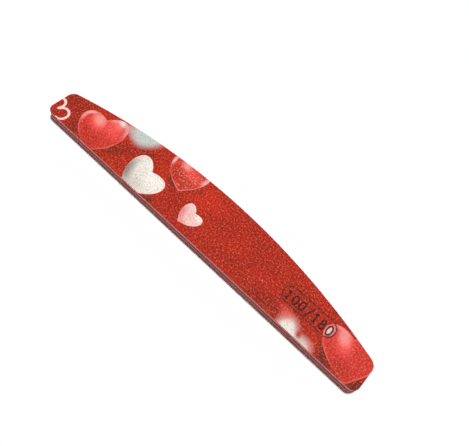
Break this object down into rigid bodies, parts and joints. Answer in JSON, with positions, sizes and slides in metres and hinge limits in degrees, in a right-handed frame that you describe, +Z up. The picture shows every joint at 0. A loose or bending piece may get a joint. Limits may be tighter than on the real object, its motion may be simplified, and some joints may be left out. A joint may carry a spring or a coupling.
{
  "type": "nail file",
  "caption": "Half-moon nail file: a stiff core between foam cushions, with a coarse printed abrasive face and a finer plain one.",
  "frame": {"origin": "on the underside of the plain abrasive face, under the middle of the bounding box", "axes": "+X along the file, +Y from the straight edge to the curved edge, +Z up out of the printed face"},
  "size_m": [0.178, 0.027, 0.0055],
  "materials": {
    "printed_grit": "coated abrasive paper, 100 grit, red print with hearts",
    "plain_grit": "coated abrasive paper, 180 grit, crinkled pale grey",
    "foam": "closed-cell EVA foam, pale pink, die cut",
    "core_plastic": "crimson polystyrene board, die cut",
    "adhesive": "milky double-sided adhesive film"
  },
  "bodies": {
    "root": {"printed_abrasive_sheet": "printed_grit", "upper_sheet_film": "adhesive", "upper_foam": "foam", "upper_core_film": "adhesive", "core_board": "core_plastic", "lower_core_film": "adhesive", "lower_foam": "foam", "lower_sheet_film": "adhesive", "plain_abrasive_sheet": "plain_grit"}
  },
  "joints": []
}
